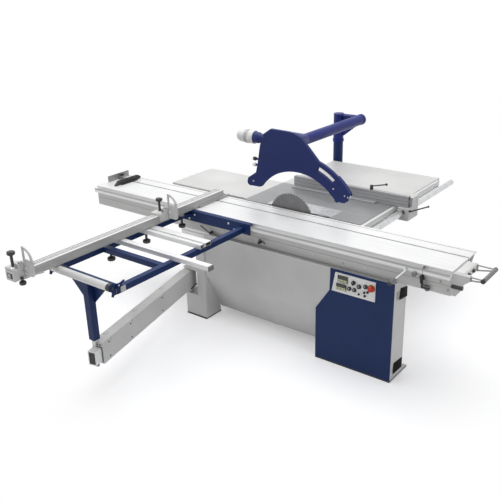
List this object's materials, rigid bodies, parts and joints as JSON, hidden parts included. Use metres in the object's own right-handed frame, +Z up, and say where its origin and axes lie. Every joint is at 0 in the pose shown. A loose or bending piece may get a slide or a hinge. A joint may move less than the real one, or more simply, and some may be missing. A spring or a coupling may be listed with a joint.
{
  "type": "sliding table saw",
  "caption": "Sliding table saw with a long carriage, outrigger with crosscut fence on a swinging arm, rip fence on a round bar, overhead guard on a boom, tilting saw unit and scoring blade.",
  "frame": {"origin": "on the floor, under the centre of the saw blade", "axes": "+X along the sliding table towards its push handle, +Y from the sliding table towards the rip fence, +Z up"},
  "size_m": [3.396, 3.612, 1.498],
  "materials": {
    "grey_paint": "light grey powder coat, fine grain",
    "blue_paint": "deep blue powder coat, semi-gloss",
    "panel_plate": "satin grey plate",
    "anodised": "pale anodised, drawn along its length",
    "ground_iron": "ground and polished",
    "bright_steel": "bright turned steel",
    "dark_casting": "painted casting",
    "red_plastic": "gloss red",
    "black_plastic": "matte black moulding",
    "white_plastic": "white nylon",
    "grey_rubber": "pale hose end",
    "black_rubber": "belt"
  },
  "bodies": {
    "machine": {"machine_frame": "grey_paint", "trunnion_supports": "grey_paint", "front_panel": "grey_paint", "left_leg": "grey_paint", "cabinet_shell": "grey_paint", "cabinet_front": "blue_paint", "control_plate": "panel_plate", "guide_beam": "anodised", "main_table": "ground_iron", "table_insert": "bright_steel", "outfeed_extension": "grey_paint", "rip_extension": "grey_paint", "rip_rail": "anodised", "guide_bar": "bright_steel", "guard_post": "blue_paint"},
    "stop_button": {"emergency_stop": "red_plastic"},
    "selector": {"power_selector": "black_plastic"},
    "carriage": {"sliding_table": "anodised", "end_casting": "grey_paint", "push_handle": "bright_steel"},
    "shoe": {"edging_shoe": "black_plastic"},
    "start_remote": {"remote_start": "black_plastic"},
    "stop_remote": {"remote_stop": "black_plastic"},
    "table_lock_rod": {"lock_rod": "bright_steel"},
    "table_lock_lever": {"lock_lever": "black_plastic"},
    "cage": {"ball_cage": "bright_steel"},
    "outrigger": {"outrigger_mount": "blue_paint", "side_tube_left": "blue_paint", "side_tube_right": "blue_paint", "cross_tubes": "blue_paint", "slot_beam": "anodised", "plain_beam": "anodised", "outrigger_post": "blue_paint"},
    "roller": {"support_roller": "anodised"},
    "fence": {"crosscut_fence": "anodised"},
    "fence_knob": {"fence_clamp": "black_plastic"},
    "extension": {"fence_extension": "grey_paint", "stop_block_far": "grey_paint"},
    "far_flag": {"stop_flag_far": "grey_paint"},
    "near_stop": {"stop_block_near": "grey_paint"},
    "near_flag": {"stop_flag_near": "grey_paint"},
    "arm": {"swing_arm": "grey_paint"},
    "arm_beam": {"telescopic_beam": "anodised"},
    "rip_saddle": {"rip_carrier": "grey_paint"},
    "rip_profile": {"rip_fence": "anodised"},
    "rip_bar_lever": {"rip_clamp_lever": "black_plastic"},
    "rip_fence_lever": {"rip_profile_lever": "black_plastic"},
    "boom": {"guard_boom": "blue_paint"},
    "hood": {"hood_shell": "blue_paint", "hose_end": "grey_rubber"},
    "nose": {"hood_nose": "blue_paint"},
    "nose_roller": {"hood_roller": "white_plastic"},
    "cradle": {"saw_cradle": "dark_casting"},
    "rise": {"arbor_carrier": "dark_casting", "saw_motor": "blue_paint", "drive_belt": "black_rubber"},
    "arbor": {"arbor_shaft": "bright_steel", "saw_blade": "bright_steel"},
    "motor_shaft": {"motor_pulley": "bright_steel"},
    "scorer": {"scoring_blade": "bright_steel"}
  },
  "joints": [
    {"name": "table_slide", "type": "slide", "parent": "machine", "child": "carriage", "axis": [1, 0, 0], "range_m": [-1.65, 1.2]},
    {"name": "cage_slide", "type": "slide", "parent": "machine", "child": "cage", "axis": [1, 0, 0], "range_m": [-0.83, 0.61]},
    {"name": "emergency_stop_press", "type": "slide", "parent": "machine", "child": "stop_button", "axis": [0, 1, 0], "range_m": [0, 0.005], "stiffness_N_per_m": 1200},
    {"name": "selector_turn", "type": "hinge", "parent": "machine", "child": "selector", "pos_m": [0.813, -0.46, 0.673], "axis": [0, -1, 0], "range_deg": [-45, 45]},
    {"name": "edging_shoe_slide", "type": "slide", "parent": "carriage", "child": "shoe", "axis": [1, 0, 0], "range_m": [0, 0.4]},
    {"name": "start_press", "type": "slide", "parent": "carriage", "child": "start_remote", "axis": [-1, 0, 0], "range_m": [0, 0.003], "stiffness_N_per_m": 800},
    {"name": "stop_press", "type": "slide", "parent": "carriage", "child": "stop_remote", "axis": [-1, 0, 0], "range_m": [0, 0.003], "stiffness_N_per_m": 800},
    {"name": "lock_rod_turn", "type": "hinge", "parent": "carriage", "child": "table_lock_rod", "pos_m": [1.172, -0.454, 0.861], "axis": [0, 1, 0], "range_deg": [0, 60]},
    {"name": "lock_lever_turn", "type": "hinge", "parent": "carriage", "child": "table_lock_lever", "pos_m": [1.276, -0.422, 0.809], "axis": [0, 1, 0], "range_deg": [-30, 30]},
    {"name": "outrigger_slide", "type": "slide", "parent": "carriage", "child": "outrigger", "axis": [1, 0, 0], "range_m": [-0.55, 0.9]},
    {"name": "roller_spin", "type": "hinge", "parent": "outrigger", "child": "roller", "pos_m": [-0.416, -1.708, 0.874], "axis": [1, 0, 0], "continuous": true},
    {"name": "fence_angle", "type": "hinge", "parent": "outrigger", "child": "fence", "pos_m": [-0.647, -0.531, 0.904], "axis": [0, 0, 1], "range_deg": [-45, 45]},
    {"name": "fence_knob_turn", "type": "hinge", "parent": "outrigger", "child": "fence_knob", "pos_m": [-0.647, -0.531, 0.823], "axis": [0, 0, 1], "continuous": true},
    {"name": "fence_extend", "type": "slide", "parent": "fence", "child": "extension", "axis": [0, -1, 0], "range_m": [0, 1.2]},
    {"name": "far_flag_flip", "type": "hinge", "parent": "extension", "child": "far_flag", "pos_m": [-0.606, -1.961, 1.006], "axis": [0, -1, 0], "range_deg": [0, 95]},
    {"name": "near_stop_slide", "type": "slide", "parent": "fence", "child": "near_stop", "axis": [0, 1, 0], "range_m": [-1.05, 0.55]},
    {"name": "near_flag_flip", "type": "hinge", "parent": "near_stop", "child": "near_flag", "pos_m": [-0.606, -0.715, 0.99], "axis": [0, -1, 0], "range_deg": [0, 95]},
    {"name": "arm_swing", "type": "hinge", "parent": "machine", "child": "arm", "pos_m": [-0.7, -0.43, 0.3], "axis": [0, 0, 1], "range_deg": [-51.2, 37.2]},
    {"name": "arm_extend", "type": "slide", "parent": "arm", "child": "arm_beam", "axis": [0.2416, -0.9704, 0], "range_m": [0, 0.6]},
    {"name": "rip_saddle_slide", "type": "slide", "parent": "machine", "child": "rip_saddle", "axis": [0, 1, 0], "range_m": [-0.435, 0.74]},
    {"name": "rip_fence_slide", "type": "slide", "parent": "rip_saddle", "child": "rip_profile", "axis": [1, 0, 0], "range_m": [-0.3, 0.3]},
    {"name": "rip_bar_lever_turn", "type": "hinge", "parent": "rip_saddle", "child": "rip_bar_lever", "pos_m": [0.745, 0.48, 0.884], "axis": [1, 0, 0], "range_deg": [0, 60]},
    {"name": "rip_fence_lever_turn", "type": "hinge", "parent": "rip_profile", "child": "rip_fence_lever", "pos_m": [0.408, 0.509, 0.991], "axis": [0, 0, 1], "range_deg": [-60, 60]},
    {"name": "boom_swing", "type": "hinge", "parent": "machine", "child": "boom", "pos_m": [-0.449, 1.44, 1.2], "axis": [0, 0, 1], "range_deg": [-90, 20]},
    {"name": "hood_height", "type": "slide", "parent": "boom", "child": "hood", "axis": [0, 0, 1], "range_m": [-0.12, 0.04]},
    {"name": "nose_lift", "type": "hinge", "parent": "hood", "child": "nose", "pos_m": [0.06, 0, 0.785], "axis": [0, -1, 0], "range_deg": [0, 12]},
    {"name": "nose_roller_spin", "type": "hinge", "parent": "nose", "child": "nose_roller", "pos_m": [0.498, 0, 1.086], "axis": [0, 1, 0], "continuous": true},
    {"name": "saw_tilt", "type": "hinge", "parent": "machine", "child": "cradle", "pos_m": [0, 0, 0.9], "axis": [-1, 0, 0], "range_deg": [0, 45]},
    {"name": "saw_rise", "type": "slide", "parent": "cradle", "child": "rise", "axis": [0, 0, 1], "range_m": [-0.127, 0]},
    {"name": "arbor_spin", "type": "hinge", "parent": "rise", "child": "arbor", "pos_m": [0, 0, 0.827], "axis": [0, 1, 0], "continuous": true},
    {"name": "motor_spin", "type": "hinge", "parent": "rise", "child": "motor_shaft", "pos_m": [0, 0, 0.52], "axis": [0, 1, 0], "continuous": true},
    {"name": "scoring_spin", "type": "hinge", "parent": "rise", "child": "scorer", "pos_m": [0.262, 0, 0.842], "axis": [0, 1, 0], "continuous": true}
  ],
  "couplings": [
    {"joint": "cage_slide", "follows": "table_slide", "ratio": 0.5},
    {"joint": "arm_swing", "follows": "table_slide", "rad_per_m": 0.54},
    {"joint": "motor_spin", "follows": "arbor_spin", "ratio": 0.83333}
  ]
}
